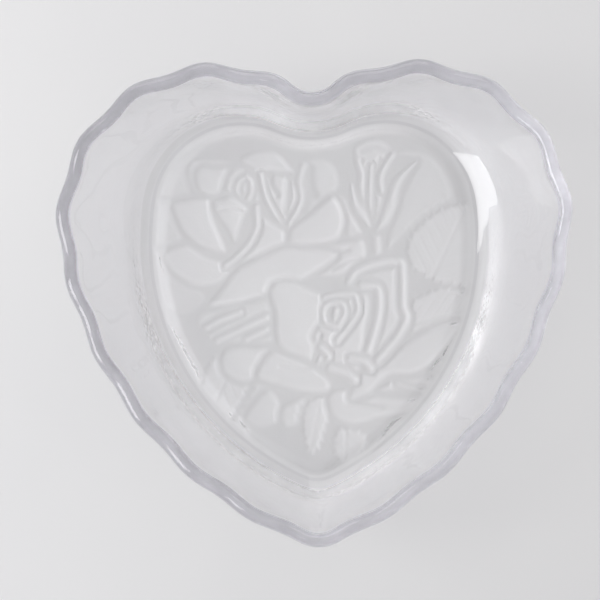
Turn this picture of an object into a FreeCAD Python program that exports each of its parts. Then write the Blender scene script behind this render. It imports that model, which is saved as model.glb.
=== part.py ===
import FreeCAD, Part
import math
import os
from FreeCAD import Placement, Rotation, Vector

# An open heart-shaped trinket dish, pressed in one shot of clear glass.
# Lengths are millimetres. The origin is under the middle of the dish on the plane it rests
# on; +Z is up, +Y points to the notch between the lobes, and the tip is at -Y.

# ---- driving dimensions ---------------------------------------------------------------------

SIZES = (
    ("rim_width", 138.8, "across the lobes of the rim, on the mean line of its waves"),
    ("rim_length", 130.6, "lobe tops to tip, on the same line"),
    ("rim_lobe_radius", 42.5, "lobes of the rim"),
    ("rim_flank_radius", 105, "long sides from lobe to tip"),
    ("rim_tip_radius", 15, "rounded tip"),
    ("rim_notch_radius", 12, "rounded notch between the lobes"),
    ("rim_thickness", 3.9, "glass at the rounded lip"),
    ("dish_height", 34, "resting plane to the mean line of the lip"),
    ("wave_count", 21, "scallops round the rim, odd so that one stands on the tip"),
    ("wave_at_lobes", 0.7, "how far a scallop stands out from the mean line at the lobes"),
    ("wave_at_tip", 0.35, "the same at the tip"),
    ("wave_lift", 0.5, "how far a scallop rises above the mean line"),
    ("wave_depth", 11, "height over which the scallops fade into the wall"),
    ("side_flare", 20.5, "overhang of the rim past the foot at each side"),
    ("back_flare", 9.6, "overhang at the lobe tops"),
    ("front_flare", 11.7, "overhang at the tip"),
    ("bowl_fullness", 0.5, "0 is a straight wall, more is a rounder bowl"),
    ("foot_lobe_radius", 29.4, "lobes of the foot"),
    ("foot_flank_radius", 76.4, "long sides of the foot"),
    ("foot_tip_radius", 14.4, "tip of the foot"),
    ("foot_notch_radius", 19.6, "notch of the foot"),
    ("foot_round", 1.8, "corner between resting ring and wall"),
    ("ring_width", 1.2, "flat ring that the dish rests on"),
    ("wall_thickness", 4.6, "glass in the wall above the floor"),
    ("floor_height", 7.0, "resting plane to the inside floor"),
    ("floor_round", 8.0, "hollow corner between inside floor and wall"),
    ("recess_depth", 2.0, "hollow under the floor that holds the relief"),
    ("relief_clearance", 0.3, "the highest petals stay this far above the table"),
    ("relief_step", 0.35, "height between one layer of the relief and the next"),
    ("relief_root", 1.0, "how deep the relief is rooted in the glass above the recess"),
    ("relief_margin", 0.3, "plain strip between the recess wall and the relief"),
)

# How finely the curves are sampled.
POINTS_PER_WAVE = 10
ARC_STEPS = 3
WALL_STEPS = 6
LIP_STEPS = 6

# ---- the relief under the floor: two open roses, a bud and leaves ---------------------------

# Each outline is a closed smooth curve through its points, drawn on a field DRAWN_WIDTH by
# DRAWN_LENGTH with its origin at the middle of the field, and stretched to the real field.
DRAWN_WIDTH = 90.0
DRAWN_LENGTH = 100.0

LEAVES = (
    ("right leaf", (27, 20), (34, 25), (42, 26), (44, 18), (42, 5), (35.5, 4), (30.5, 8)),
    ("right leaf behind", (29, -1), (33.5, 2), (41, 2), (44, -1), (37, -3.5)),
    ("lower right leaf", (33, -18.5), (39.5, -20), (35, -25), (28, -23)),
    ("lower left leaf", (-44, -10), (-40, -6), (-35, -12), (-32, -19), (-36.5, -21), (-40, -17)),
    ("low left leaf", (-25, -12.5), (-31, -21), (-28, -29), (-23, -27), (-18.5, -21.5), (-18, -14.5)),
    ("bud sepals and stem", (10, 31), (14, 33), (17, 28), (20, 33.5), (24, 33), (19.5, 24),
     (18.5, 16), (15.5, 16), (14.5, 22)),
    ("left sepal", (-4, -32), (0, -27.5), (2, -36), (-2.5, -41)),
    ("right sepal", (6, -43), (12, -38), (14, -35.5), (5, -36)),
)

PETALS = (
    ("upper rose, top", (-34.5, 34.5), (-32, 40), (-27, 39), (-21.5, 38), (-24, 33), (-29.5, 32)),
    ("upper rose, left", (-39.5, 28), (-29, 28), (-24, 16.5), (-34.5, 17.5), (-38, 24)),
    ("upper rose, low left", (-43, 13.5), (-37, 15), (-26, 11.5), (-27, 6), (-34, 5.5), (-40, 9)),
    ("upper rose, folded pair", (-15.5, 35), (-5, 34), (-4, 29), (-9.5, 22.5), (-13.5, 28)),
    ("upper rose, right", (-3.5, 21.5), (4.5, 29), (7, 22.5), (4, 17), (-3.5, 17.5)),
    ("upper rose, front", (-29, 0), (-20, 10.5), (-9.5, 14.5), (6, 13.5), (-1, 9), (-12, 8), (-20, 4)),
    ("lower rose, left", (-12, 5.5), (-8, 6), (0, 3), (-2.5, -3), (-1, -14), (-10, -10), (-11, -3)),
    ("lower rose, right", (9, 5.5), (15, 10.5), (23, 12), (26, 5), (26, -4), (23, -11), (20.5, -4),
     (19.5, 4), (14, 5.5)),
    ("lower rose, low right", (10, -25), (15, -20), (23.5, -13.5), (39, -6), (38, -11), (30, -16.5),
     (21, -21)),
    ("lower rose, low left", (-17, -19), (-11, -14), (3.5, -20.5), (-4, -24)),
    ("lower rose, bottom", (4, -27.5), (8, -33), (16, -33), (32, -28.5), (22, -25), (12, -27.5)),
)

HEARTS = (
    ("upper rose, heart", (-27, 27), (-24, 30), (-19.5, 27), (-22, 19)),
    ("lower rose, heart", (2.5, 0), (6, 2), (10, 1), (11.5, -3), (8.5, -8), (4, -8)),
    ("bud", (11.5, 42), (15.5, 44), (21.5, 42), (19.5, 36), (14, 36)),
)


def make_sheet(doc):
    """The spreadsheet: name, value and meaning of every driving dimension."""
    sheet = doc.addObject("Spreadsheet::Sheet", "sizes")
    for row, (alias, value, meaning) in enumerate(SIZES, start=1):
        sheet.set(f"A{row}", alias)
        sheet.set(f"B{row}", str(value))
        sheet.set(f"C{row}", meaning)
        sheet.setAlias(f"B{row}", alias)
    doc.recompute()
    return sheet


# ---- heart outline --------------------------------------------------------------------------

class Heart:
    """A heart of tangent arcs, each half made of notch, lobe, flank and tip."""

    def __init__(self, width, length, top, lobe, flank, tip, notch):
        lobe_x = width / 2 - lobe
        lobe_y = top - lobe
        tip_y = top - length + tip
        notch_y = lobe_y + math.sqrt((lobe + notch) ** 2 - lobe_x ** 2)
        # The flank's centre lies at flank - lobe from the lobe's centre and at flank - tip
        # from the tip's, on the far side of the axis.
        span = math.hypot(lobe_x, tip_y - lobe_y)
        along = ((flank - lobe) ** 2 - (flank - tip) ** 2 + span ** 2) / (2 * span)
        aside = math.sqrt((flank - lobe) ** 2 - along ** 2)
        toward = Vector(-lobe_x, tip_y - lobe_y, 0) / span
        flank_x = lobe_x + along * toward.x + aside * toward.y
        flank_y = lobe_y + along * toward.y - aside * toward.x
        notch_to_lobe = math.atan2(lobe_y - notch_y, lobe_x)
        flank_to_lobe = math.atan2(lobe_y - flank_y, lobe_x - flank_x)
        flank_to_tip = math.atan2(tip_y - flank_y, -flank_x)
        down = -math.pi / 2
        # centre x, centre y, radius, first angle, last angle, +1 bulging or -1 hollow
        self.arcs = (
            (0.0, notch_y, notch, down, notch_to_lobe, -1),
            (lobe_x, lobe_y, lobe, notch_to_lobe + math.pi, flank_to_lobe, 1),
            (flank_x, flank_y, flank, flank_to_lobe, flank_to_tip, 1),
            (0.0, tip_y, tip, flank_to_tip, down, 1),
        )

    def lengths(self):
        return [radius * abs(last - first) for _, _, radius, first, last, _ in self.arcs]

    def half_length(self):
        return sum(self.lengths())

    def at(self, arc, share):
        """Point and outward normal at a share of one arc of the right-hand half."""
        x, y, radius, first, last, side = self.arcs[arc]
        angle = first + (last - first) * share
        ray = Vector(math.cos(angle), math.sin(angle), 0)
        return Vector(x, y, 0) + ray * radius, ray * side

    def locate(self, distance):
        """The arc, and the share of it, at a distance from the notch along the half."""
        for arc, length in enumerate(self.lengths()):
            if distance <= length:
                return arc, distance / length
            distance -= length
        return len(self.arcs) - 1, 1.0

    def outline(self, inset):
        """Both halves as arcs of circles, the whole outline moved in by inset."""
        outline = []
        for x, y, radius, first, last, side in self.arcs:
            low, high = min(first, last), max(first, last)
            for centre, start, end in ((x, low, high), (-x, math.pi - high, math.pi - low)):
                circle = Part.Circle(Vector(centre, y, 0), Vector(0, 0, 1), radius - side * inset)
                outline.append(Part.ArcOfCircle(circle, start, end))
        return outline


def rim_heart(sheet):
    return Heart(sheet.rim_width, sheet.rim_length, sheet.rim_length / 2, sheet.rim_lobe_radius,
                 sheet.rim_flank_radius, sheet.rim_tip_radius, sheet.rim_notch_radius)


def foot_heart(sheet):
    width = sheet.rim_width - 2 * sheet.side_flare
    length = sheet.rim_length - sheet.back_flare - sheet.front_flare
    top = sheet.rim_length / 2 - sheet.back_flare
    return Heart(width, length, top, sheet.foot_lobe_radius, sheet.foot_flank_radius,
                 sheet.foot_tip_radius, sheet.foot_notch_radius)


# ---- wall, lip and floor --------------------------------------------------------------------

def round_samples(sheet, rim):
    """Evenly spaced stations round the rim: arc, share, side of the axis, wave and its size."""
    half = rim.half_length()
    count = int(sheet.wave_count) * POINTS_PER_WAVE
    samples = []
    for index in range(count):
        travelled = 2 * half * index / count
        side = 1 if travelled <= half else -1
        distance = travelled if side == 1 else 2 * half - travelled
        arc, share = rim.locate(distance)
        wave = -math.cos(2 * math.pi * sheet.wave_count * index / count)
        toward_tip = (1 - math.cos(math.pi * distance / half)) / 2
        size = sheet.wave_at_lobes + (sheet.wave_at_tip - sheet.wave_at_lobes) * toward_tip
        samples.append((arc, share, side, wave, size))
    return samples


def profile(sheet):
    """Heights and insets of the glass skin, from the resting ring over the lip to the floor."""
    lip = sheet.rim_thickness / 2
    lip_height = sheet.dish_height - lip
    levels = []
    for step in range(ARC_STEPS):
        turn = math.pi / 2 * step / ARC_STEPS
        levels.append((sheet.foot_round * (1 - math.cos(turn)),
                       sheet.foot_round * (1 - math.sin(turn))))
    for step in range(WALL_STEPS):
        share = step / WALL_STEPS
        levels.append((sheet.foot_round + (lip_height - sheet.foot_round) * share, 0.0))
    for step in range(LIP_STEPS):
        turn = math.pi * step / LIP_STEPS
        levels.append((lip_height + lip * math.sin(turn), lip * (1 - math.cos(turn))))
    corner = sheet.floor_height + sheet.floor_round
    for step in range(WALL_STEPS):
        share = step / WALL_STEPS
        thickness = sheet.rim_thickness + (sheet.wall_thickness - sheet.rim_thickness) * share
        levels.append((lip_height + (corner - lip_height) * share, thickness))
    for step in range(ARC_STEPS + 1):
        turn = math.pi / 2 * step / ARC_STEPS
        levels.append((corner - sheet.floor_round * math.sin(turn),
                       sheet.wall_thickness + sheet.floor_round * (1 - math.cos(turn))))
    return levels


def section(sheet, rim, foot, samples, height, inset):
    """One closed curve round the dish at a height, moved in by inset."""
    rise = min(height / (sheet.dish_height - sheet.rim_thickness / 2), 1.0)
    blend = rise * (1 + sheet.bowl_fullness) - sheet.bowl_fullness * rise ** 2
    fade = max(0.0, 1 - (sheet.dish_height - height) / sheet.wave_depth)
    swell = (1 - math.cos(math.pi * fade)) / 2
    points = []
    for arc, share, side, wave, size in samples:
        low, low_normal = foot.at(arc, share)
        high, high_normal = rim.at(arc, share)
        normal = low_normal * (1 - blend) + high_normal * blend
        normal.normalize()
        place = low * (1 - blend) + high * blend + normal * (swell * wave * size - inset)
        points.append(Vector(place.x * side, place.y, height + swell * wave * sheet.wave_lift))
    curve = Part.BSplineCurve()
    curve.interpolate(Points=points, PeriodicFlag=True,
                      Parameters=[float(index) for index in range(len(points) + 1)])
    return Part.Wire(curve.toShape())


def glass_form(sheet):
    """The pressed form before anything is cut under it: one skin closed by two flat faces."""
    rim = rim_heart(sheet)
    foot = foot_heart(sheet)
    samples = round_samples(sheet, rim)
    sections = [section(sheet, rim, foot, samples, *level) for level in profile(sheet)]
    skin = Part.makeLoft(sections, False, False)
    caps = [Part.Face(sections[0]), Part.Face(sections[-1])]
    shell = Part.Shell(skin.Faces + caps)
    return Part.Solid(shell)


# ---- features under the floor ---------------------------------------------------------------

def new_sketch(body, name, height):
    """A sketch parallel to the table, at a height given by an expression."""
    sketch = body.newObject("Sketcher::SketchObject", name)
    plane = [item for item in body.Origin.OriginFeatures if item.Role == "XY_Plane"][0]
    sketch.AttachmentSupport = [(plane, "")]
    sketch.MapMode = "FlatFace"
    sketch.setExpression("AttachmentOffset.Base.z", height)
    return sketch


def cut_recess(body, sheet, foot):
    """The hollow inside the resting ring."""
    sketch = new_sketch(body, "recess_outline", "0")
    for arc in foot.outline(sheet.foot_round + sheet.ring_width):
        sketch.addGeometry(arc, False)
    pocket = body.newObject("PartDesign::Pocket", "recess")
    pocket.Profile = sketch
    pocket.setExpression("Length", "sizes.recess_depth")
    pocket.Reversed = True
    return pocket


def add_layer(body, name, outlines, field, rise):
    """One layer of the relief: every outline stands down from the recess by the same rise."""
    sketch = new_sketch(body, name + "_outlines", f"sizes.recess_depth - ({rise})")
    across, along, middle = field
    for _, *points in outlines:
        places = [Vector(x * across, y * along + middle, 0) for x, y in points]
        curve = Part.BSplineCurve()
        curve.interpolate(Points=places, PeriodicFlag=True)
        sketch.addGeometry(curve, False)
    pad = body.newObject("PartDesign::Pad", name)
    pad.Profile = sketch
    pad.setExpression("Length", f"{rise} + sizes.relief_root")
    return pad


def relief_field(sheet, foot):
    """How far the drawing is stretched across and along, and the middle of the field in Y."""
    border = sheet.foot_round + sheet.ring_width + sheet.relief_margin
    arcs = foot.outline(border)
    box = Part.Wire(Part.__sortEdges__([arc.toShape() for arc in arcs])).BoundBox
    return box.XLength / DRAWN_WIDTH, box.YLength / DRAWN_LENGTH, (box.YMin + box.YMax) / 2


def make_dish(doc, sheet):
    """The whole dish, one solid."""
    form = doc.addObject("Part::Feature", "pressed_form")
    form.Shape = glass_form(sheet)
    body = doc.addObject("PartDesign::Body", "dish")
    body.Label = "dish"
    body.BaseFeature = form
    foot = foot_heart(sheet)
    cut_recess(body, sheet, foot)
    field = relief_field(sheet, foot)
    highest = "sizes.recess_depth - sizes.relief_clearance"
    add_layer(body, "leaves", LEAVES, field, f"{highest} - 2 * sizes.relief_step")
    add_layer(body, "petals", PETALS, field, f"{highest} - sizes.relief_step")
    add_layer(body, "hearts", HEARTS, field, highest)
    # The scallops reach a little further at the lobes than at the tip, so the dish is slid
    # along Y until the middle of its box is over the origin.
    box = form.Shape.BoundBox
    body.Placement = Placement(Vector(0, -(box.YMin + box.YMax) / 2, 0), Rotation())
    return body


# ---- checks and export ----------------------------------------------------------------------

def check(doc, parts):
    """Stops if any object failed to build or any part is not a whole valid solid."""
    for item in doc.Objects:
        if "Invalid" in item.State or "Error" in item.State:
            raise RuntimeError(f"{item.Name} failed: {item.State}")
    for part in parts:
        if part.Shape.isNull() or not part.Shape.isValid() or len(part.Shape.Solids) != 1:
            raise RuntimeError(f"{part.Label} is not one valid solid")


def main():
    doc = FreeCAD.newDocument("heart_dish")
    sheet = make_sheet(doc)
    parts = [make_dish(doc, sheet)]
    doc.recompute()
    check(doc, parts)
    os.makedirs("parts", exist_ok=True)
    for part in parts:
        part.Shape.exportStep(f"parts/{part.Label}.step")
        box = part.Shape.BoundBox
        print(f"{part.Label}: {box.XLength:.2f} x {box.YLength:.2f} x {box.ZLength:.2f} mm, "
              f"{part.Shape.Volume / 1000:.1f} cm3")


main()
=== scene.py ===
"""Looks for an open heart-shaped trinket dish in pressed clear glass.

The CAD dish is replaced by one closed mesh of the same form, with the rose relief under its
floor modelled in full. Drawing sizes are millimetres in the dish's own frame: +Y points to the
notch between the lobes, -Y to the tip, and z is measured up from the plane it rests on.
"""

import math

import bpy
import numpy as np
from mathutils import Euler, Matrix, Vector


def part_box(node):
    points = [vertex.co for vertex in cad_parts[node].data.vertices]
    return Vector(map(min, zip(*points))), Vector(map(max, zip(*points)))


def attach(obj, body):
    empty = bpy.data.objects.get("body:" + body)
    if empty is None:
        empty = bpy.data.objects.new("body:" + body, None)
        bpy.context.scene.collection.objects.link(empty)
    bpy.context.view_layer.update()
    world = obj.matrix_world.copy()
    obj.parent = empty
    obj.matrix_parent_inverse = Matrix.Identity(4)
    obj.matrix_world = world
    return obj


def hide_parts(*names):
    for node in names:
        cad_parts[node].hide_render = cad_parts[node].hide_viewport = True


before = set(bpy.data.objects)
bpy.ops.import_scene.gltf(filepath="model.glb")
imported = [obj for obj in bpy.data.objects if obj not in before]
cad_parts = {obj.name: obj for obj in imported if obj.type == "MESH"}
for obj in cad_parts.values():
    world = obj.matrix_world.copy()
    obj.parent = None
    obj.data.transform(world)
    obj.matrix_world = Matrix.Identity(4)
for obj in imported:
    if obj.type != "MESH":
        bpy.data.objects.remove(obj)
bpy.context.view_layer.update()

MM = 0.001

# ---- the dish's own sizes, as in its CAD model ----------------------------------------------

RIM = dict(width=138.8, length=130.6, lobe=42.5, flank=105.0, tip=15.0, notch=12.0)
FOOT_RADII = dict(lobe=29.4, flank=76.4, tip=14.4, notch=19.6)
SIDE_FLARE = 20.5
BACK_FLARE = 9.6
FRONT_FLARE = 11.7
RIM_THICKNESS = 3.9
DISH_HEIGHT = 34.0
WAVE_COUNT = 21
WAVE_AT_LOBES = 0.7
WAVE_AT_TIP = 0.35
WAVE_LIFT = 0.5
WAVE_DEPTH = 11.0
BOWL_FULLNESS = 0.5
FOOT_ROUND = 1.8
RING_WIDTH = 1.2
RESTING_LINE = FOOT_ROUND + RING_WIDTH * 0.6
WALL_THICKNESS = 4.6
FLOOR_HEIGHT = 7.0
FLOOR_ROUND = 8.0
RECESS_DEPTH = 2.0

# How finely the mesh is cut. The relief's square grid has 4 * GRID points on its border,
# three for each of the points round the skin.
GRID = 270
AROUND = 4 * GRID // 3
FOOT_STEPS = 5
OUTER_STEPS = 14
LIP_STEPS = 10
INNER_STEPS = 10
CORNER_STEPS = 8
FLOOR_RINGS = 8


# ---- heart outlines -------------------------------------------------------------------------

class Heart:
    """A heart of tangent arcs, each half made of notch, lobe, flank and tip."""

    def __init__(self, width, length, top, lobe, flank, tip, notch):
        lobe_x, lobe_y = width / 2 - lobe, top - lobe
        tip_y = top - length + tip
        notch_y = lobe_y + math.sqrt((lobe + notch) ** 2 - lobe_x ** 2)
        span = math.hypot(lobe_x, tip_y - lobe_y)
        along = ((flank - lobe) ** 2 - (flank - tip) ** 2 + span ** 2) / (2 * span)
        aside = math.sqrt((flank - lobe) ** 2 - along ** 2)
        toward = (-lobe_x / span, (tip_y - lobe_y) / span)
        flank_x = lobe_x + along * toward[0] + aside * toward[1]
        flank_y = lobe_y + along * toward[1] - aside * toward[0]
        to_lobe = math.atan2(lobe_y - notch_y, lobe_x)
        from_flank = math.atan2(lobe_y - flank_y, lobe_x - flank_x)
        to_tip = math.atan2(tip_y - flank_y, -flank_x)
        down = -math.pi / 2
        # centre x, centre y, radius, first angle, last angle, +1 bulging or -1 hollow
        self.arcs = (
            (0.0, notch_y, notch, down, to_lobe, -1),
            (lobe_x, lobe_y, lobe, to_lobe + math.pi, from_flank, 1),
            (flank_x, flank_y, flank, from_flank, to_tip, 1),
            (0.0, tip_y, tip, to_tip, down, 1),
        )
        self.lengths = [r * abs(last - first) for _, _, r, first, last, _ in self.arcs]

    def locate(self, distance):
        """The arc, and the share of it, at a distance from the notch along one half."""
        for arc, length in enumerate(self.lengths):
            if distance <= length:
                return arc, distance / length
            distance -= length
        return len(self.arcs) - 1, 1.0

    def at(self, arc, share):
        """Point and outward normal at a share of one arc of the right-hand half."""
        x, y, radius, first, last, side = self.arcs[arc]
        angle = first + (last - first) * share
        ray = np.array((math.cos(angle), math.sin(angle)))
        return np.array((x, y)) + ray * radius, ray * side


def hearts():
    """The rim's and the foot's outlines."""
    top = RIM["length"] / 2
    foot_width = RIM["width"] - 2 * SIDE_FLARE
    foot_length = RIM["length"] - BACK_FLARE - FRONT_FLARE
    return Heart(top=top, **RIM), Heart(foot_width, foot_length, top - BACK_FLARE, **FOOT_RADII)


class Stations:
    """Matching points, normals and waves at evenly spaced stations round both outlines."""

    def __init__(self, rim, foot, count):
        half = sum(rim.lengths)
        share = np.arange(count) / count
        distance = np.where(share <= 0.5, share, 1 - share) * 2 * half
        side = np.where(share <= 0.5, 1.0, -1.0)
        pairs = [(rim.at(*place), foot.at(*place)) for place in map(rim.locate, distance)]
        mirror = np.stack([side, np.ones(count)], axis=1)
        self.rim = np.array([p[0][0] for p in pairs]) * mirror
        self.rim_normal = np.array([p[0][1] for p in pairs]) * mirror
        self.foot = np.array([p[1][0] for p in pairs]) * mirror
        self.foot_normal = np.array([p[1][1] for p in pairs]) * mirror
        toward_tip = (1 - np.cos(np.pi * distance / half)) / 2
        size = WAVE_AT_LOBES + (WAVE_AT_TIP - WAVE_AT_LOBES) * toward_tip
        self.wave = -np.cos(2 * np.pi * WAVE_COUNT * share)
        self.swing = self.wave * size

    def ring(self, height, inset):
        """The closed ring of points at a height, moved in by inset."""
        rise = min(height / (DISH_HEIGHT - RIM_THICKNESS / 2), 1.0)
        blend = rise * (1 + BOWL_FULLNESS) - BOWL_FULLNESS * rise ** 2
        fade = max(0.0, 1 - (DISH_HEIGHT - height) / WAVE_DEPTH)
        swell = (1 - math.cos(math.pi * fade)) / 2
        normal = self.foot_normal * (1 - blend) + self.rim_normal * blend
        normal /= np.linalg.norm(normal, axis=1, keepdims=True)
        flat = self.foot * (1 - blend) + self.rim * blend
        flat = flat + normal * (swell * self.swing - inset)[:, None]
        lift = height + swell * self.wave * WAVE_LIFT
        return np.column_stack([flat, lift])


def profile():
    """Heights and insets of the skin, from the resting ring over the lip to the floor."""
    lip = RIM_THICKNESS / 2
    lip_height = DISH_HEIGHT - lip
    levels = [(0.0, RESTING_LINE)]
    for turn in np.linspace(0, np.pi / 2, FOOT_STEPS, endpoint=False):
        levels.append((FOOT_ROUND * (1 - math.cos(turn)), FOOT_ROUND * (1 - math.sin(turn))))
    for height in np.linspace(FOOT_ROUND, lip_height, OUTER_STEPS, endpoint=False):
        levels.append((height, 0.0))
    for turn in np.linspace(0, np.pi, LIP_STEPS, endpoint=False):
        levels.append((lip_height + lip * math.sin(turn), lip * (1 - math.cos(turn))))
    corner = FLOOR_HEIGHT + FLOOR_ROUND
    for share in np.linspace(0, 1, INNER_STEPS, endpoint=False):
        levels.append((lip_height + (corner - lip_height) * share,
                       RIM_THICKNESS + (WALL_THICKNESS - RIM_THICKNESS) * share))
    for turn in np.linspace(0, np.pi / 2, CORNER_STEPS + 1):
        levels.append((corner - FLOOR_ROUND * math.sin(turn),
                       WALL_THICKNESS + FLOOR_ROUND * (1 - math.cos(turn))))
    return levels


# ---- the relief under the floor -------------------------------------------------------------

# The relief is drawn seen from above, in millimetres, and is painted from the back to the
# front: an area, or a strip along a line, cuts a groove round itself into what lies under it
# and then swells to its own height. A lean tips it, in millimetres of height per millimetre.

GROOVE_WIDTH = 1.7
GROOVE_LEFT = 0.2
EDGE_WIDTH = 2.0
OUTLINE_GROWTH = 0.6
CROWN_WIDTH = 6.0
CROWN_RISE = 0.25
SERRATION = 0.9
SERRATION_REACH = 3.0
VEIN_WIDTH = 0.35
VEIN_DEPTH = 0.16
SIDE_VEIN = 0.7
MIDRIB = 1.4
MIDRIB_WIDTH = 3 * VEIN_WIDTH

# The recess deepens over its slope, the relief takes at most this share of the room in it, and
# the drawing is enlarged to fill it.
RECESS_SLOPE = 5.5
GAP_SHARE = 0.7
RELIEF_DEPTH = 0.8
RELIEF_SCALE = 1.03

# Painted shade: the frosted glass's colour is darkest in the grooves and on the low ground, and pale from
# this height of the relief up; the ring and foot get a set tone of it.
DARKEST_SHADE_AT = 0.0
UNSHADED_FROM = 0.5
RING_SHADE_TONE = 0.15


def smooth(t):
    """A soft step: 0 below 0, 1 above 1."""
    t = np.clip(t, 0.0, 1.0)
    return t * t * (3 - 2 * t)


def soft_least(first, second):
    """The lesser of two positive heights, rounded where they meet."""
    return first * second / np.cbrt(first ** 3 + second ** 3 + 1e-9)


def through(points, closed, steps=6):
    """A smooth Catmull-Rom line through the points."""
    p1 = np.array(points, dtype=float)
    p0, p2, p3 = np.roll(p1, 1, 0), np.roll(p1, -1, 0), np.roll(p1, -2, 0)
    if not closed:
        p0[0], p2[-1], p3[-2], p3[-1] = p1[0], p1[-1], p1[-1], p1[-1]
    t = (np.arange(steps) / steps)[None, :, None]
    p0, p1, p2, p3 = (p[:, None, :] for p in (p0, p1, p2, p3))
    line = 0.5 * (2 * p1 + (p2 - p0) * t + (2 * p0 - 5 * p1 + 4 * p2 - p3) * t ** 2
                  + (3 * p1 - p0 - 3 * p2 + p3) * t ** 3)
    line = line.reshape(-1, 2)
    return line if closed else line[:1 - steps]


def measure(points, line, closed):
    """Each point's distance to the line, its place along it, and whether it is inside."""
    ends = np.roll(line, -1, 0) if closed else line[1:]
    starts = line if closed else line[:-1]
    nearest = np.full(len(points), np.inf)
    place = np.zeros(len(points))
    inside = np.zeros(len(points), dtype=bool)
    travelled = 0.0
    for start, end in zip(starts, ends):
        step = end - start
        length = max(math.hypot(*step), 1e-9)
        share = np.clip((points - start) @ step / length ** 2, 0.0, 1.0)
        gap = np.hypot(*(points - start - share[:, None] * step).T)
        closer = gap < nearest
        nearest = np.where(closer, gap, nearest)
        place = np.where(closer, travelled + share * length, place)
        travelled += length
        if closed and start[1] != end[1]:
            beside = (start[1] > points[:, 1]) != (end[1] > points[:, 1])
            cross_x = start[0] + (points[:, 1] - start[1]) / step[1] * step[0]
            inside ^= beside & (points[:, 0] < cross_x)
    return nearest, place, inside


class Relief:
    """Heights of the relief at a set of points."""

    def __init__(self, points):
        self.points = points
        self.height = np.zeros(len(points))

    def near(self, line, reach):
        """Which points lie within reach of the box round a line."""
        low, high = line.min(0) - reach, line.max(0) + reach
        return np.flatnonzero(((self.points > low) & (self.points < high)).all(axis=1))

    def raise_to(self, spot, depth, height, lean, groove):
        """Cut the groove where depth is negative, and swell to the height where it is not."""
        depth = depth + OUTLINE_GROWTH
        old = self.height[spot]
        cut = GROOVE_LEFT + (1 - GROOVE_LEFT) * smooth(-depth / groove)
        here = self.points[spot]
        middle = here[depth > 0].mean(axis=0) if (depth > 0).any() else here.mean(axis=0)
        tilt = (here - middle) @ np.array(lean)
        crown = 1 - CROWN_RISE + CROWN_RISE * smooth(depth / CROWN_WIDTH)
        new = (height * crown + tilt) * smooth(depth / EDGE_WIDTH)
        self.height[spot] = np.where(depth > 0, np.maximum(new, old * GROOVE_LEFT), old * cut)

    def area(self, height, lean, points, teeth=0.0, groove=GROOVE_WIDTH):
        """A petal or leaf with a closed outline, toothed where teeth gives their spacing."""
        line = through(points, True)
        spot = self.near(line, groove)
        gap, place, inside = measure(self.points[spot], line, True)
        depth = np.where(inside, gap, -gap)
        if teeth:
            edge = smooth(1 - gap / SERRATION_REACH)
            depth = depth - SERRATION * (1 - (place / teeth) % 1.0) * edge
        self.raise_to(spot, depth, height, lean, groove)

    def strip(self, height, width, points, groove=GROOVE_WIDTH):
        """A ridge of a width along an open line."""
        line = through(points, False)
        spot = self.near(line, width / 2 + groove)
        gap, _, _ = measure(self.points[spot], line, False)
        self.raise_to(spot, width / 2 - gap, height, (0.0, 0.0), groove)

    def hollow(self, depth, width, points):
        """Press a soft channel of a width into what is there."""
        line = through(points, False)
        spot = self.near(line, width)
        gap, _, _ = measure(self.points[spot], line, False)
        self.height[spot] -= np.minimum(self.height[spot], depth * smooth(1 - gap / width))

    def veins(self, base, tip, pitch, slant, reach):
        """A midrib and slanted side veins, pressed into a leaf."""
        base, tip = np.array(base, dtype=float), np.array(tip, dtype=float)
        length = math.hypot(*(tip - base))
        axis = (tip - base) / length
        offset = self.points - base
        along = offset @ axis
        across = offset @ np.array((-axis[1], axis[0]))
        spot = (along > 0) & (along < length) & (np.abs(across) < reach)
        phase = along[spot] / pitch - np.abs(across[spot]) * slant / pitch
        off_vein = np.abs((phase + 0.5) % 1.0 - 0.5) * pitch
        fading = smooth(2 - 2 * np.abs(across[spot]) / reach)
        vein = smooth(1 - off_vein / (2 * VEIN_WIDTH)) * fading
        rib = smooth(1 - np.abs(across[spot]) / MIDRIB_WIDTH)
        cut = VEIN_DEPTH * np.maximum(SIDE_VEIN * vein, MIDRIB * rib)
        self.height[spot] -= np.minimum(self.height[spot], cut)


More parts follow.
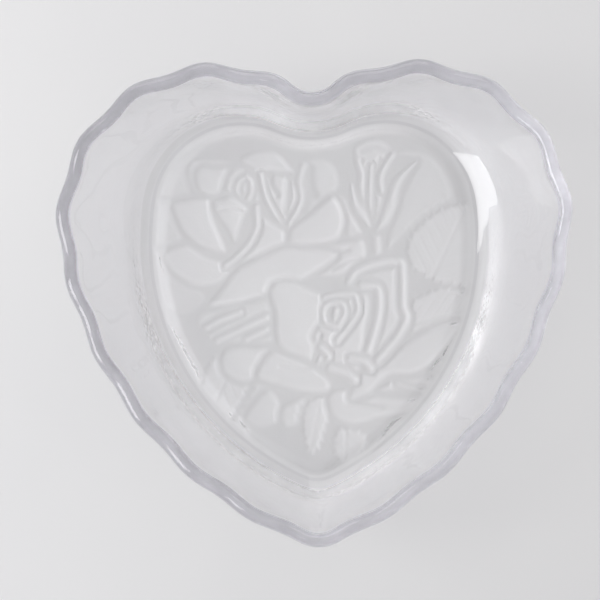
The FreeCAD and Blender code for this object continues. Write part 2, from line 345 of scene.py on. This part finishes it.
def leaves(relief):
    """The rose leaves and the petals' shadowed neighbours, which lie furthest back."""
    relief.area(0.35, (0, 0), ((-45, 28.5), (-39.5, 28), (-38, 23.5), (-36, 19), (-38, 17), (-45, 16.5),
                               (-47, 22)))
    relief.area(0.35, (0, 0), ((-44, 30.5), (-42.5, 35.5), (-39, 39.5), (-34, 41.5), (-31, 41), (-34, 38),
                               (-33.5, 32.5), (-32, 30), (-35, 29.5)))
    relief.area(0.35, (0, 0), ((-45.5, 14), (-41.5, 14), (-40, 10), (-35.5, 6.5), (-32, 5), (-30.5, 1.5),
                               (-35, -2.5), (-41.5, -1), (-45, 6)))
    relief.area(0.5, (0, 0), ((22.5, 41), (27, 42.5), (33, 40), (37, 34), (38, 28.5), (32.5, 25),
                              (28, 21.5), (24, 18), (20, 15), (22, 24.5), (28, 38.5)))
    relief.area(0.45, (0, 0), ((-33.5, -25), (-28, -20.5), (-21, -21.5), (-16.5, -20.5), (-13, -23),
                               (-15, -29.5), (-21.5, -37.5), (-28.5, -33)))
    relief.area(0.5, (0, 0), ((20.5, -34), (26, -31.5), (34.5, -30.5), (31.5, -38.5), (23, -45),
                              (16, -47), (17.5, -41)))
    relief.area(0.9, (0.012, 0), ((25, 15.5), (27.5, 20.5), (31.5, 24), (36, 26.5), (42.5, 27.5), (45, 24),
                                  (46, 19.5), (45.5, 12.5), (43, 3.5), (36.5, 3.5), (31, 6.5), (26, 9.5)),
                teeth=2.6)
    relief.veins((32, 6), (42.5, 27), 3.4, 0.8, 11.0)
    relief.area(0.6, (0, 0), ((30.5, -10.5), (40, -7.5), (47, -10.5), (48.5, -15), (44.5, -20.5),
                              (39, -21.5), (32.5, -17)))
    relief.area(0.75, (0, 0.02), ((26, 0), (29.5, 2.5), (35, 4.5), (40, 3.5), (46, 1), (49.5, -1.5),
                                  (43, -4.5), (39.5, -5.5), (35, -6), (30.5, -7.5), (26, -9)), teeth=2.6)
    relief.veins((25, -6.5), (49, -1), 3.4, 1.1, 9.0)
    relief.area(0.75, (0, 0), ((32, -14), (37, -17.5), (42, -21.5), (40, -26), (33, -26.5), (27, -22)))
    relief.veins((29, -17), (41.5, -24), 3.2, 0.8, 7.0)
    relief.area(0.6, (-0.01, 0.01), ((-48.5, -10.5), (-46, -7), (-42, -4), (-37.5, -9.5), (-33.5, -16.5),
                                     (-29.5, -22), (-33.5, -25), (-37, -21.5), (-43.5, -17.5)), teeth=2.4)
    relief.veins((-32, -23.5), (-43, -5), 3.2, 0.8, 7.0)
    relief.area(0.65, (0.01, 0), ((-26, -12.5), (-29.5, -15), (-32, -20), (-33.5, -25), (-33, -30.5),
                                  (-29.5, -32.5), (-25, -32), (-20, -26), (-17.5, -19), (-19, -13)),
                teeth=2.6)
    relief.veins((-21, -14), (-31, -31.5), 3.4, 0.8, 8.0)
    relief.area(0.7, (0, 0.01), ((-13.5, -23.5), (-9.5, -28.5), (-10, -32), (-15.5, -34), (-20, -31)))
    relief.area(0.75, (0, 0.01), ((-10, -31.5), (-9, -28), (-4, -25.5), (1, -25), (-3, -31.5), (-8, -34)))
    relief.area(0.85, (0.01, 0), ((-4.5, -33), (-3, -27), (2, -25), (4, -29), (2.5, -35), (0.5, -40.5),
                                  (-3, -41)), teeth=2.6)
    relief.veins((1, -27), (-2, -41), 3.0, 0.8, 4.0)
    relief.area(0.8, (0.01, 0), ((5, -34.5), (8, -33.5), (13, -35.5), (14, -40), (8.5, -46), (4, -41)),
                teeth=2.6)
    relief.veins((8, -33.5), (8, -46), 3.0, 0.8, 4.5)


def bud(relief):
    """The bud on its stem, up between the lobes, with its sepals."""
    relief.area(0.7, (0, 0), ((6.5, 30), (9.5, 28), (12, 22.5), (15, 15), (12, 16.5), (9, 19), (8, 23)))
    relief.strip(0.8, 2.4, ((16, 24), (17, 19), (17.5, 13)))
    relief.area(0.8, (0, 0), ((11.5, 43), (13.5, 45), (17, 45.5), (20.5, 44), (22.5, 41), (20, 38.5),
                              (18.5, 35), (18, 31.5), (19.5, 27), (18, 22.5), (15.5, 22.5),
                              (12, 25), (11, 30), (12.5, 35), (11.5, 39)))
    relief.hollow(0.5, 1.8, ((13.5, 42), (17, 43), (20.5, 41.5)))
    relief.hollow(0.5, 1.2, ((13.5, 39.5), (14.5, 35), (14, 28)))
    relief.hollow(0.5, 1.2, ((18.5, 40), (17.2, 35), (17, 27)))
    relief.strip(0.95, 1.4, ((16, 38), (15.6, 31), (15.6, 24)), groove=0.8)
    relief.strip(1.1, 1.6, ((22, 41), (20, 38), (18.5, 34.5), (19, 31)), groove=0.8)
    relief.area(0.9, (0.02, 0), ((28.5, 39), (25.5, 35), (23.5, 31), (22.5, 26), (20, 21.5), (17, 20),
                                 (18.5, 24.5), (20.5, 29.5), (22.5, 34.5)))
    relief.area(0.85, (0, 0), ((10.5, 33), (10.5, 27), (12.5, 23.5), (15.5, 21), (14.5, 25), (12.5, 28)))


def upper_rose(relief):
    """The rose under the left-hand lobe, seen half from the side."""
    relief.area(0.6, (0, 0), ((-2, 39.5), (1.5, 40.5), (5.5, 38.5), (7, 33), (4.5, 30), (1.5, 28),
                              (-2, 25.5), (-3, 32)))
    relief.hollow(0.6, 2.2, ((-0.8, 37.5), (-0.8, 33), (0.5, 30)))
    relief.area(0.8, (0, 0.02), ((-34.5, 36.5), (-33.5, 40), (-28, 40.5), (-22.5, 39.5), (-22, 35),
                                 (-27, 31), (-32, 30)))
    relief.area(0.8, (0, 0.02), ((-20, 39.5), (-17, 42), (-11, 42.5), (-7.5, 39.5), (-4.5, 35),
                                 (-8, 34), (-16, 34)))
    relief.area(1.0, (0, 0.02), ((-32.5, 37), (-30.5, 38.5), (-27, 38), (-22, 38), (-23.5, 35),
                                 (-26, 31), (-28.5, 29.5), (-31, 31), (-32.5, 34)))
    relief.area(0.8, (0, 0), ((-22.5, 37.5), (-18.5, 37.5), (-15.5, 34), (-15.5, 27), (-19, 26.5),
                              (-22.5, 30), (-24.5, 32)))
    relief.area(1.0, (-0.015, 0), ((-39, 28), (-35, 29.5), (-29, 29.3), (-28, 24.5), (-27, 21.5),
                                   (-24.5, 15.5), (-26, 14.5), (-31.5, 16.5), (-35.5, 19.5), (-38, 24)))
    relief.area(0.95, (-0.01, -0.01), ((-41.5, 14.5), (-36, 17), (-30.5, 14), (-26.5, 12.5), (-22, 11),
                                       (-23.5, 8), (-27.5, 6), (-32.5, 5.5), (-36, 7), (-40, 10)))
    relief.area(0.9, (0, 0), ((-14.5, 36), (-5, 35), (-2, 34.5), (-2, 28), (-5, 23.5), (-7, 20.5),
                              (-9.5, 21), (-11.5, 26), (-13.8, 31)))
    relief.hollow(0.75, 1.7, ((-12, 35.5), (-11.5, 33), (-10, 30.5)))
    relief.hollow(0.75, 2.3, ((-6.5, 34), (-7, 29), (-7.5, 25)))
    relief.strip(1.15, 1.6, ((-2.5, 38.5), (-3.8, 34), (-3.5, 28.5), (-7.5, 21)), groove=0.8)
    relief.strip(1.15, 1.4, ((-14.5, 36), (-12.8, 29), (-8.5, 21)), groove=0.8)
    relief.area(0.95, (0, -0.01), ((-14.8, 25), (-12, 23), (-8, 20), (-9, 16), (-15.5, 13),
                                   (-20, 12.3), (-17.5, 17), (-15, 21)))
    relief.strip(1.1, 1.6, ((-18.5, 35.5), (-20.3, 34.5), (-21.2, 32), (-20.3, 29.5), (-18.5, 28.8),
                            (-17.3, 31), (-17.2, 34), (-18.5, 35.5)), groove=0.9)
    relief.area(1.1, (0, 0.015), ((-27.5, 28.5), (-25.5, 29.5), (-22.5, 30), (-18.5, 27), (-19.5, 24.5),
                                  (-20.5, 21.5), (-22, 17.5), (-24, 21), (-27, 25.5)))
    relief.hollow(0.45, 0.9, ((-26, 26.5), (-23, 26.8), (-20, 26)))
    relief.strip(1.05, 1.7, ((-15.8, 27), (-15.8, 21.5), (-18, 17), (-22, 13), (-24.5, 11)), groove=0.9)
    relief.area(1.15, (0.02, 0.01), ((-6.5, 20.5), (-1, 25), (5, 29.5), (8, 25), (7.5, 20), (4, 15.5),
                                     (-5.5, 15.8)))
    relief.area(0.85, (0, 0), ((-0.5, 15), (4.5, 16.5), (10, 17.5), (13.5, 17.5), (14, 12), (9.5, 8.5),
                               (1, 7.5), (-2.5, 7), (3, 10), (6, 13.5)))
    relief.hollow(0.5, 1.3, ((1.5, 11.5), (5, 13.5), (9.5, 15)))
    relief.hollow(0.4, 1.1, ((5, 9.5), (9, 11.5), (12.5, 12.5)))
    relief.area(1.2, (0, -0.02), ((-29.5, -0.5), (-25.5, 5), (-21.5, 10), (-15.5, 13), (-7.5, 16),
                                  (6, 14), (-1.5, 8), (-8, 4.5), (-14.5, 2.5), (-23.5, 0)))
    relief.area(0.5, (0, 0), ((-31, -1.5), (-23, -0.5), (-14, 1.5), (-12, 0), (-12, -10), (-18, -10.5),
                              (-26, -11), (-30.5, -8), (-32.5, -4.5)), groove=1.8)
    for ridge in (((-30, -6), (-26, -3.8), (-21, -2)), ((-27, -9.5), (-20, -6.3), (-13.5, -3.5)),
                  ((-19, -9.3), (-13.5, -6.8))):
        relief.strip(1.0, 2.0, ridge, groove=1.0)


def lower_rose(relief):
    """The open rose in the middle, over everything else."""
    relief.area(0.8, (0, 0), ((15.5, -24.5), (22, -21), (29, -20.5), (36, -23), (42.5, -26.5),
                              (34.5, -27), (28, -26), (22, -24.5)))
    relief.area(0.9, (0, -0.02), ((4, -24), (3.5, -29.5), (6.5, -32.5), (11.5, -33), (19.5, -31),
                                  (29.5, -31), (34.5, -29.5), (30, -27.5), (24, -26.5), (18, -25.5),
                                  (12, -24)))
    relief.hollow(0.5, 1.4, ((11.5, -27.3), (18, -28.5)))
    relief.area(0.9, (0, 0), ((-26, -13.5), (-22.5, -11.5), (-17, -11.8), (-12.5, -12.5), (-16, -17),
                              (-17, -20), (-21, -21), (-25.5, -18.5)))
    relief.area(1.1, (0.01, 0.01), ((18, -17), (26.5, -10), (35, -6), (39.5, -6), (40, -7.5), (32, -16.5),
                                    (26.5, -19.5), (20, -19.8), (14, -25), (9, -26), (12, -20)))
    relief.area(1.05, (0, -0.015), ((-16.5, -19.5), (-12.5, -13), (-7, -14), (-1, -16.5), (3.5, -21.5),
                                    (2.5, -24), (-3.5, -24), (-10, -22.3)))
    relief.hollow(0.4, 0.9, ((-10, -17), (-6, -17.8), (-1.5, -17.5)))
    relief.area(0.6, (0, 0), ((9, 2.5), (11.5, 9.5), (17, 12), (23.5, 12.3), (25, 7.5), (25, -1),
                              (26, -4.5), (23, -10), (17, -16.5), (14, -14.5), (8, -12), (4, -6), (5, 0)))
    relief.strip(1.2, 2.3, ((9, 3.5), (11, 8.5), (16.5, 11), (23.3, 11.5), (24.3, 7.5), (24.2, -0.5),
                            (25, -4.5), (22.3, -9.5), (17, -15.5)), groove=1.4)
    relief.area(0.9, (0, 0), ((2.5, 1.5), (7, 3.5), (12.5, 5), (15, 0), (13.5, -8), (14, -15), (9, -20),
                              (3, -19), (-1, -15), (-1, -8), (1.5, -3)))
    relief.strip(1.2, 2.4, ((13, 5), (16.8, 4.5), (17.8, 1), (17, -5), (14.5, -13)), groove=1.2)
    relief.area(1.1, (-0.015, 0.015), ((-12.3, 4.5), (-10.5, 6.3), (-5.5, 6), (-1, 3.8), (2.7, 1.8),
                                       (2, -3), (-1.3, -8.5), (-0.5, -11.5), (-1.3, -15.5),
                                       (-5.5, -14), (-9.8, -11.8), (-11, -8), (-11.2, -2),
                                       (-12.4, 2)))
    relief.strip(1.15, 1.7, ((2.8, 1.8), (6, 2.6), (10.4, 2.6), (11.6, 0.5), (11.2, -3.2), (6, -10)),
                 groove=0.9)
    relief.strip(1.2, 1.5, ((6.2, -6.3), (2.8, -5), (2.4, -1.5), (4.2, 0.3), (7.2, 0.2), (8.2, -2.5),
                            (6.2, -6.3)), groove=0.8)
    relief.hollow(0.8, 1.3, ((4.4, -1.3), (4.2, -3.8)))
    relief.hollow(0.8, 1.2, ((1.4, -8.5), (0.9, -12), (-0.4, -15)))
    relief.strip(1.1, 1.8, ((1.5, -12), (3.5, -14.5), (2.5, -17)), groove=0.9)
    relief.strip(1.1, 2.4, ((4, -17.5), (8, -19), (10.5, -21)), groove=0.9)
    relief.strip(1.05, 2.2, ((9.5, -15), (13, -15.8), (15, -18)), groove=0.9)
    relief.strip(1.0, 1.5, ((22.5, -22.3), (28.5, -24.3), (34.5, -26.6), (38.5, -26.8)), groove=1.2)
    relief.hollow(0.7, 2.0, ((16.2, -33.8), (16.8, -34)))


def relief_heights(points):
    """The whole relief, painted from the back to the front."""
    relief = Relief(points)
    for paint in (leaves, bud, upper_rose, lower_rose):
        paint(relief)
    return np.maximum(relief.height, 0.0) * RELIEF_DEPTH


# ---- the dish's mesh ------------------------------------------------------------------------

CLEAR, FROSTED, LIP, SATIN = range(4)
LIP_BOTTOM = DISH_HEIGHT - RIM_THICKNESS * 0.55


class Mesh:
    """Vertices, faces and face materials, gathered piece by piece."""

    def __init__(self):
        self.points = []
        self.faces = []
        self.slots = []
        # the relief grid's first point and the painted-shade tones of its points
        self.relief = {}
        self.count = 0

    def add_points(self, points):
        """Add vertices and return their numbers."""
        first = self.count
        self.points.append(np.asarray(points, dtype=float))
        self.count += len(points)
        return np.arange(first, self.count)

    def add_faces(self, faces, slot=CLEAR):
        """Add faces of one material."""
        self.faces.extend(faces.tolist())
        self.slots.append(np.full(len(faces), slot))

    def bridge(self, lower, upper, slot=CLEAR):
        """Quads between two rings, facing out where upper lies above lower on the outside."""
        quads = np.column_stack([lower, upper, np.roll(upper, -1), np.roll(lower, -1)])
        self.add_faces(quads, slot)


def skin_slot(height, inset):
    """Frosted round the foot, satin up the outside, a glass darkened by painted shade in the lip, clear
    inside.
    """
    if height < FOOT_ROUND:
        return FROSTED
    if inset == 0.0:
        return SATIN
    return LIP if height > LIP_BOTTOM else CLEAR


def add_skin(mesh, stations):
    """The outer wall, the lip, the inner wall and the floor of the bowl."""
    first = last = None
    for height, inset in profile():
        ring = mesh.add_points(stations.ring(height, inset))
        if last is None:
            first = ring
        else:
            mesh.bridge(last, ring, skin_slot(height, inset))
        last = ring
    edge = mesh.points[-1]
    centre = edge.mean(axis=0)
    for step in range(1, FLOOR_RINGS):
        ring = mesh.add_points(centre + (edge - centre) * (1 - step / FLOOR_RINGS))
        mesh.bridge(last, ring)
        last = ring
    middle = mesh.add_points([centre])[0]
    mesh.add_faces(np.column_stack([last, np.full(len(last), middle), np.roll(last, -1)]))
    return first


def grid_places():
    """How far out, and how far round, each point of the square grid lands in the heart."""
    steps = np.linspace(-1.0, 1.0, GRID + 1)
    u, v = (axis.ravel() for axis in np.meshgrid(steps, steps))
    out = np.maximum(np.abs(u), np.abs(v))
    safe = np.where(out > 0, out, 1.0)
    upright = np.abs(v) >= np.abs(u)
    round_top = np.where(v > 0, u / safe / 8, 0.5 - u / safe / 8)
    round_side = np.where(u > 0, 0.25 - v / safe / 8, 0.75 + v / safe / 8)
    return out, np.where(upright, round_top, round_side) % 1.0


def add_underside(mesh, rim, foot, resting_ring):
    """The recess with its relief, joined to the ring that the dish rests on."""
    border = Stations(rim, foot, 4 * GRID).ring(0.0, FOOT_ROUND + RING_WIDTH)[:, :2]
    centre = border.mean(axis=0)
    out, place = grid_places()
    along = place * len(border)
    before = np.floor(along).astype(int)
    share = (along - before)[:, None]
    target = border[before % len(border)] * (1 - share) + border[(before + 1) % len(border)] * share
    flat = centre + out[:, None] * (target - centre)
    gap, _, _ = measure(flat, border[::3], True)
    gap = np.where(out >= 1.0, 0.0, gap)
    ceiling = RECESS_DEPTH * smooth(gap / RECESS_SLOPE)
    relief = soft_least(relief_heights(flat / RELIEF_SCALE), GAP_SHARE * ceiling)
    grid = mesh.add_points(np.column_stack([flat, ceiling - relief]))
    # The tone below sets the frosted glass's painted shade: the relief's height, lifted to a set tone
    # toward the resting ring.
    shade_tone = np.maximum(relief, RING_SHADE_TONE * (1 - ceiling / RECESS_DEPTH))
    mesh.relief = dict(first=grid[0], shade_tones=shade_tone)
    square = grid.reshape(GRID + 1, GRID + 1)
    quads = np.column_stack([square[:-1, :-1].ravel(), square[1:, :-1].ravel(),
                             square[1:, 1:].ravel(), square[:-1, 1:].ravel()])
    mesh.add_faces(quads, FROSTED)
    half = GRID // 2
    rim_of_grid = np.concatenate([square[-1, half:], square[-2::-1, -1], square[0, -2::-1],
                                  square[1:, 0], square[-1, 1:half]])
    stitch(mesh, resting_ring, rim_of_grid)


def stitch(mesh, outer, inner):
    """Join the skin's first ring to the grid's border, which has three points to its one."""
    after = np.roll(outer, -1)
    a, b, c = inner[0::3], inner[1::3], inner[2::3]
    d = np.roll(a, -1)
    mesh.add_faces(np.column_stack([outer, b, a]), FROSTED)
    mesh.add_faces(np.column_stack([outer, after, c, b]), FROSTED)
    mesh.add_faces(np.column_stack([after, d, c]), FROSTED)


def make_dish(materials):
    """The whole dish as one closed mesh."""
    rim, foot = hearts()
    mesh = Mesh()
    resting_ring = add_skin(mesh, Stations(rim, foot, AROUND))
    add_underside(mesh, rim, foot, resting_ring)
    points = np.concatenate(mesh.points) * MM
    low, high = (np.array(corner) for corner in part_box("dish"))
    points[:, :2] += ((low + high) / 2 - (points.min(0) + points.max(0)) / 2)[:2]
    data = bpy.data.meshes.new("dish_glass")
    data.from_pydata(points.tolist(), [], mesh.faces)
    for material in materials:
        data.materials.append(material)
    data.polygons.foreach_set("material_index", np.concatenate(mesh.slots).astype(np.int32))
    data.polygons.foreach_set("use_smooth", np.ones(len(mesh.faces), dtype=bool))
    # every point outside the relief grid gets the ring's painted-shade tone
    shade_tones = np.full(len(points), RING_SHADE_TONE, dtype=np.float32)
    first = mesh.relief["first"]
    shade_tones[first:first + len(mesh.relief["shade_tones"])] = mesh.relief["shade_tones"]
    data.attributes.new("relief", "FLOAT", "POINT").data.foreach_set("value", shade_tones)
    data.validate()
    data.update()
    dish = bpy.data.objects.new("dish_glass", data)
    bpy.context.scene.collection.objects.link(dish)
    return dish


# ---- materials ------------------------------------------------------------------------------

GLASS_IOR = 1.5
FACING_BLEND = 0.35

def new_material(name):
    """An empty node material and its nodes, links and output."""
    material = bpy.data.materials.new(name)
    material.use_nodes = True
    nodes, links = material.node_tree.nodes, material.node_tree.links
    nodes.clear()
    output = nodes.new("ShaderNodeOutputMaterial")
    return material, nodes, links, output


def noise(nodes, links, scale, detail, roughness=0.5):
    """Noise in the object's own space, in metres."""
    place = nodes.new("ShaderNodeTexCoord")
    texture = nodes.new("ShaderNodeTexNoise")
    texture.inputs["Scale"].default_value = scale
    texture.inputs["Detail"].default_value = detail
    texture.inputs["Roughness"].default_value = roughness
    links.new(place.outputs["Object"], texture.inputs["Vector"])
    return texture


def ramp(nodes, links, source, low, high, first, last):
    """Turn a value between low and high into a colour between first and last."""
    colours = nodes.new("ShaderNodeValToRGB")
    colours.color_ramp.elements[0].position = low
    colours.color_ramp.elements[1].position = high
    colours.color_ramp.elements[0].color = (*first, 1.0)
    colours.color_ramp.elements[1].color = (*last, 1.0)
    links.new(source, colours.inputs["Fac"])
    return colours


def let_lamps_through(nodes, links, output, shader, facing_tint, edge_tint):
    """Let light that is not seen through the glass pass straight, a little dimmed."""
    path = nodes.new("ShaderNodeLightPath")
    either = nodes.new("ShaderNodeMath")
    either.operation = "MAXIMUM"
    links.new(path.outputs["Is Shadow Ray"], either.inputs[0])
    links.new(path.outputs["Is Diffuse Ray"], either.inputs[1])
    facing = nodes.new("ShaderNodeLayerWeight")
    facing.inputs["Blend"].default_value = FACING_BLEND
    tint = ramp(nodes, links, facing.outputs["Facing"], 0.1, 0.95, facing_tint, edge_tint)
    clear = nodes.new("ShaderNodeBsdfTransparent")
    links.new(tint.outputs["Color"], clear.inputs["Color"])
    mix = nodes.new("ShaderNodeMixShader")
    links.new(either.outputs["Value"], mix.inputs["Fac"])
    links.new(shader.outputs["BSDF"], mix.inputs[1])
    links.new(clear.outputs["BSDF"], mix.inputs[2])
    links.new(mix.outputs["Shader"], output.inputs["Surface"])


def bump(nodes, links, shader, source, strength, distance):
    """Press a texture's value into the shader's normal."""
    press = nodes.new("ShaderNodeBump")
    press.inputs["Strength"].default_value = strength
    press.inputs["Distance"].default_value = distance
    links.new(source, press.inputs["Height"])
    links.new(press.outputs["Normal"], shader.inputs["Normal"])


def clear_glass():
    """Pressed glass, with the slight unevenness that its mould leaves."""
    material, nodes, links, output = new_material("pressed_clear_glass")
    shader = nodes.new("ShaderNodeBsdfPrincipled")
    shader.inputs["Transmission Weight"].default_value = 1.0
    shader.inputs["IOR"].default_value = GLASS_IOR
    shader.inputs["Roughness"].default_value = 0.0
    swirl = noise(nodes, links, 55.0, 2.0)
    tint = ramp(nodes, links, swirl.outputs["Fac"], 0.35, 0.65, (0.985, 0.99, 1.0), (0.99, 0.985, 1.0))
    links.new(tint.outputs["Color"], shader.inputs["Base Color"])
    bump(nodes, links, shader, swirl.outputs["Fac"], 0.5, 0.0005)
    let_lamps_through(nodes, links, output, shader, (0.985, 0.985, 0.985), (0.78, 0.78, 0.80))
    return material


def satin_glass():
    """The outside of the wall, dulled so that nothing is seen sharply through it."""
    material, nodes, links, output = new_material("satin_wall_glass")
    shader = nodes.new("ShaderNodeBsdfPrincipled")
    shader.inputs["Transmission Weight"].default_value = 0.93
    shader.inputs["IOR"].default_value = GLASS_IOR
    grain = noise(nodes, links, 700.0, 3.0, 0.6)
    tint = ramp(nodes, links, grain.outputs["Fac"], 0.3, 0.7, (0.98, 0.98, 1.0), (1.0, 0.99, 1.0))
    dull = ramp(nodes, links, grain.outputs["Fac"], 0.3, 0.7, (0.28, 0.28, 0.28), (0.36, 0.36, 0.36))
    links.new(tint.outputs["Color"], shader.inputs["Base Color"])
    links.new(dull.outputs["Color"], shader.inputs["Roughness"])
    bump(nodes, links, shader, grain.outputs["Fac"], 0.2, 0.0002)
    let_lamps_through(nodes, links, output, shader, (0.97, 0.97, 0.97), (0.8, 0.8, 0.82))
    return material


def lip_glass():
    """The lip, with painted shade: its colour is darkened to a lilac grey for the dimmer light that has
    come a long way up through the wall.
    """
    material, nodes, links, output = new_material("lip_glass_painted_shade")
    shader = nodes.new("ShaderNodeBsdfPrincipled")
    shader.inputs["Transmission Weight"].default_value = 1.0
    shader.inputs["IOR"].default_value = GLASS_IOR
    shader.inputs["Roughness"].default_value = 0.15
    shader.inputs["Coat Weight"].default_value = 0.3
    shader.inputs["Coat Roughness"].default_value = 0.02
    swirl = noise(nodes, links, 90.0, 2.0)
    # Painted shade: the lip's base colour is a darker lilac grey than the clear glass.
    tint = ramp(nodes, links, swirl.outputs["Fac"], 0.35, 0.65, (0.7, 0.69, 0.77), (0.8, 0.79, 0.88))
    links.new(tint.outputs["Color"], shader.inputs["Base Color"])
    bump(nodes, links, shader, swirl.outputs["Fac"], 0.6, 0.0008)
    let_lamps_through(nodes, links, output, shader, (0.9, 0.9, 0.9), (0.75, 0.75, 0.77))
    return material


def frosted_glass():
    """The dull face under the floor, its colour darkened by painted shade in the grooves and low ground,
    paler where the relief stands higher.
    """
    material, nodes, links, output = new_material("frosted_glass_painted_shade")
    shader = nodes.new("ShaderNodeBsdfPrincipled")
    shader.inputs["Transmission Weight"].default_value = 0.72
    shader.inputs["IOR"].default_value = GLASS_IOR
    grain = noise(nodes, links, 1400.0, 3.0, 0.6)
    # Painted shade: the base colour goes from 0.85 grey in the grooves and low ground to white on the
    # raised relief.
    height = nodes.new("ShaderNodeAttribute")
    height.attribute_name = "relief"
    tint = ramp(nodes, links, height.outputs["Fac"], DARKEST_SHADE_AT, UNSHADED_FROM,
                (0.85, 0.85, 0.85), (1.0, 1.0, 1.0))
    dull = ramp(nodes, links, grain.outputs["Fac"], 0.3, 0.7, (0.42, 0.42, 0.42), (0.6, 0.6, 0.6))
    links.new(tint.outputs["Color"], shader.inputs["Base Color"])
    links.new(dull.outputs["Color"], shader.inputs["Roughness"])
    bump(nodes, links, shader, grain.outputs["Fac"], 0.3, 0.0002)
    let_lamps_through(nodes, links, output, shader, (0.93, 0.93, 0.93), (0.84, 0.84, 0.85))
    return material


def painted_board():
    """The white surface that the dish stands on."""
    material, nodes, links, output = new_material("pale_board")
    shader = nodes.new("ShaderNodeBsdfPrincipled")
    clouds = noise(nodes, links, 9.0, 3.0)
    tint = ramp(nodes, links, clouds.outputs["Fac"], 0.3, 0.7, (0.80, 0.80, 0.81), (0.84, 0.84, 0.845))
    links.new(tint.outputs["Color"], shader.inputs["Base Color"])
    shader.inputs["Roughness"].default_value = 0.6
    grain = noise(nodes, links, 900.0, 4.0)
    bump(nodes, links, shader, grain.outputs["Fac"], 0.15, 0.0002)
    links.new(shader.outputs["BSDF"], output.inputs["Surface"])
    return material


# ---- stage, lights and camera ---------------------------------------------------------------

FLOOR_SIZE = 6.0
CAMERA_AT = Vector((-0.0042, 0.0012, 0.583))
CAMERA_TURN = -0.0154
SENSOR = 36.0
SEEN_ACROSS = 161.9 * MM
RIM_LEVEL = 33.0 * MM

DAYLIGHT = (0.98, 0.985, 1.0)
LAMPLIGHT = (1.0, 0.99, 0.98)
HORIZON = (0.56, 0.55, 0.57)
OVERHEAD = (0.88, 0.87, 0.865)
ROOM_STRENGTH = 0.585


def make_floor():
    """The table top, level with the ring that the dish rests on."""
    half = FLOOR_SIZE / 2
    data = bpy.data.meshes.new("floor")
    corners = [(-half, -half, 0), (half, -half, 0), (half, half, 0), (-half, half, 0)]
    data.from_pydata(corners, [], [(0, 1, 2, 3)])
    data.materials.append(painted_board())
    floor = bpy.data.objects.new("floor", data)
    bpy.context.scene.collection.objects.link(floor)
    return floor


def make_lamp(name, place, size, power, colour):
    """A rectangular lamp at a place, facing the dish and not seen by the camera."""
    data = bpy.data.lights.new(name, "AREA")
    data.shape = "RECTANGLE"
    data.size, data.size_y = size
    data.energy = power
    data.color = colour
    lamp = bpy.data.objects.new(name, data)
    lamp.location = place
    lamp.visible_camera = False
    lamp.rotation_euler = (-Vector(place)).to_track_quat("-Z", "Y").to_euler()
    bpy.context.scene.collection.objects.link(lamp)
    return lamp


def make_lamps():
    """A window that the glass mirrors, a key that casts the shadow, and a fill."""
    window = make_lamp("window", (-0.5, -0.15, 0.5), (0.4, 0.46), 3.4, DAYLIGHT)
    window.visible_transmission = False
    window.visible_diffuse = False
    key = make_lamp("key", (-0.95, 0.1, 0.75), (0.5, 0.5), 7.7, DAYLIGHT)
    key.visible_transmission = False
    key.visible_glossy = False
    make_lamp("fill", (-0.1, 0.9, 0.7), (1.0, 0.8), 3.0, LAMPLIGHT)


def make_world():
    """A soft room: paler overhead, darker toward the horizon."""
    world = bpy.data.worlds.new("soft_room")
    world.use_nodes = True
    nodes, links = world.node_tree.nodes, world.node_tree.links
    place = nodes.new("ShaderNodeTexCoord")
    split = nodes.new("ShaderNodeSeparateXYZ")
    links.new(place.outputs["Generated"], split.inputs["Vector"])
    colours = ramp(nodes, links, split.outputs["Z"], 0.05, 0.9, HORIZON, OVERHEAD)
    background = nodes["Background"]
    links.new(colours.outputs["Color"], background.inputs["Color"])
    background.inputs["Strength"].default_value = ROOM_STRENGTH
    bpy.context.scene.world = world


def make_camera():
    """Straight above the dish, turned a little, as the photo was taken."""
    data = bpy.data.cameras.new("camera")
    data.sensor_width = SENSOR
    data.lens = SENSOR * (CAMERA_AT.z - RIM_LEVEL) / SEEN_ACROSS
    camera = bpy.data.objects.new("camera", data)
    camera.location = CAMERA_AT
    camera.rotation_euler = Euler((0.0, 0.0, CAMERA_TURN))
    bpy.context.scene.collection.objects.link(camera)
    bpy.context.scene.camera = camera


def set_light_paths():
    """Plain colours, and enough bounces for light to find its way out of the thick glass."""
    scene = bpy.context.scene
    scene.view_settings.view_transform = "Standard"
    scene.cycles.max_bounces = 32
    scene.cycles.glossy_bounces = 16
    scene.cycles.transmission_bounces = 24
    scene.cycles.transparent_max_bounces = 24


# ---- the scene ------------------------------------------------------------------------------

dish = make_dish([clear_glass(), frosted_glass(), lip_glass(), satin_glass()])
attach(dish, "root")
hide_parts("dish")

make_floor()
make_world()
make_lamps()
make_camera()
set_light_paths()
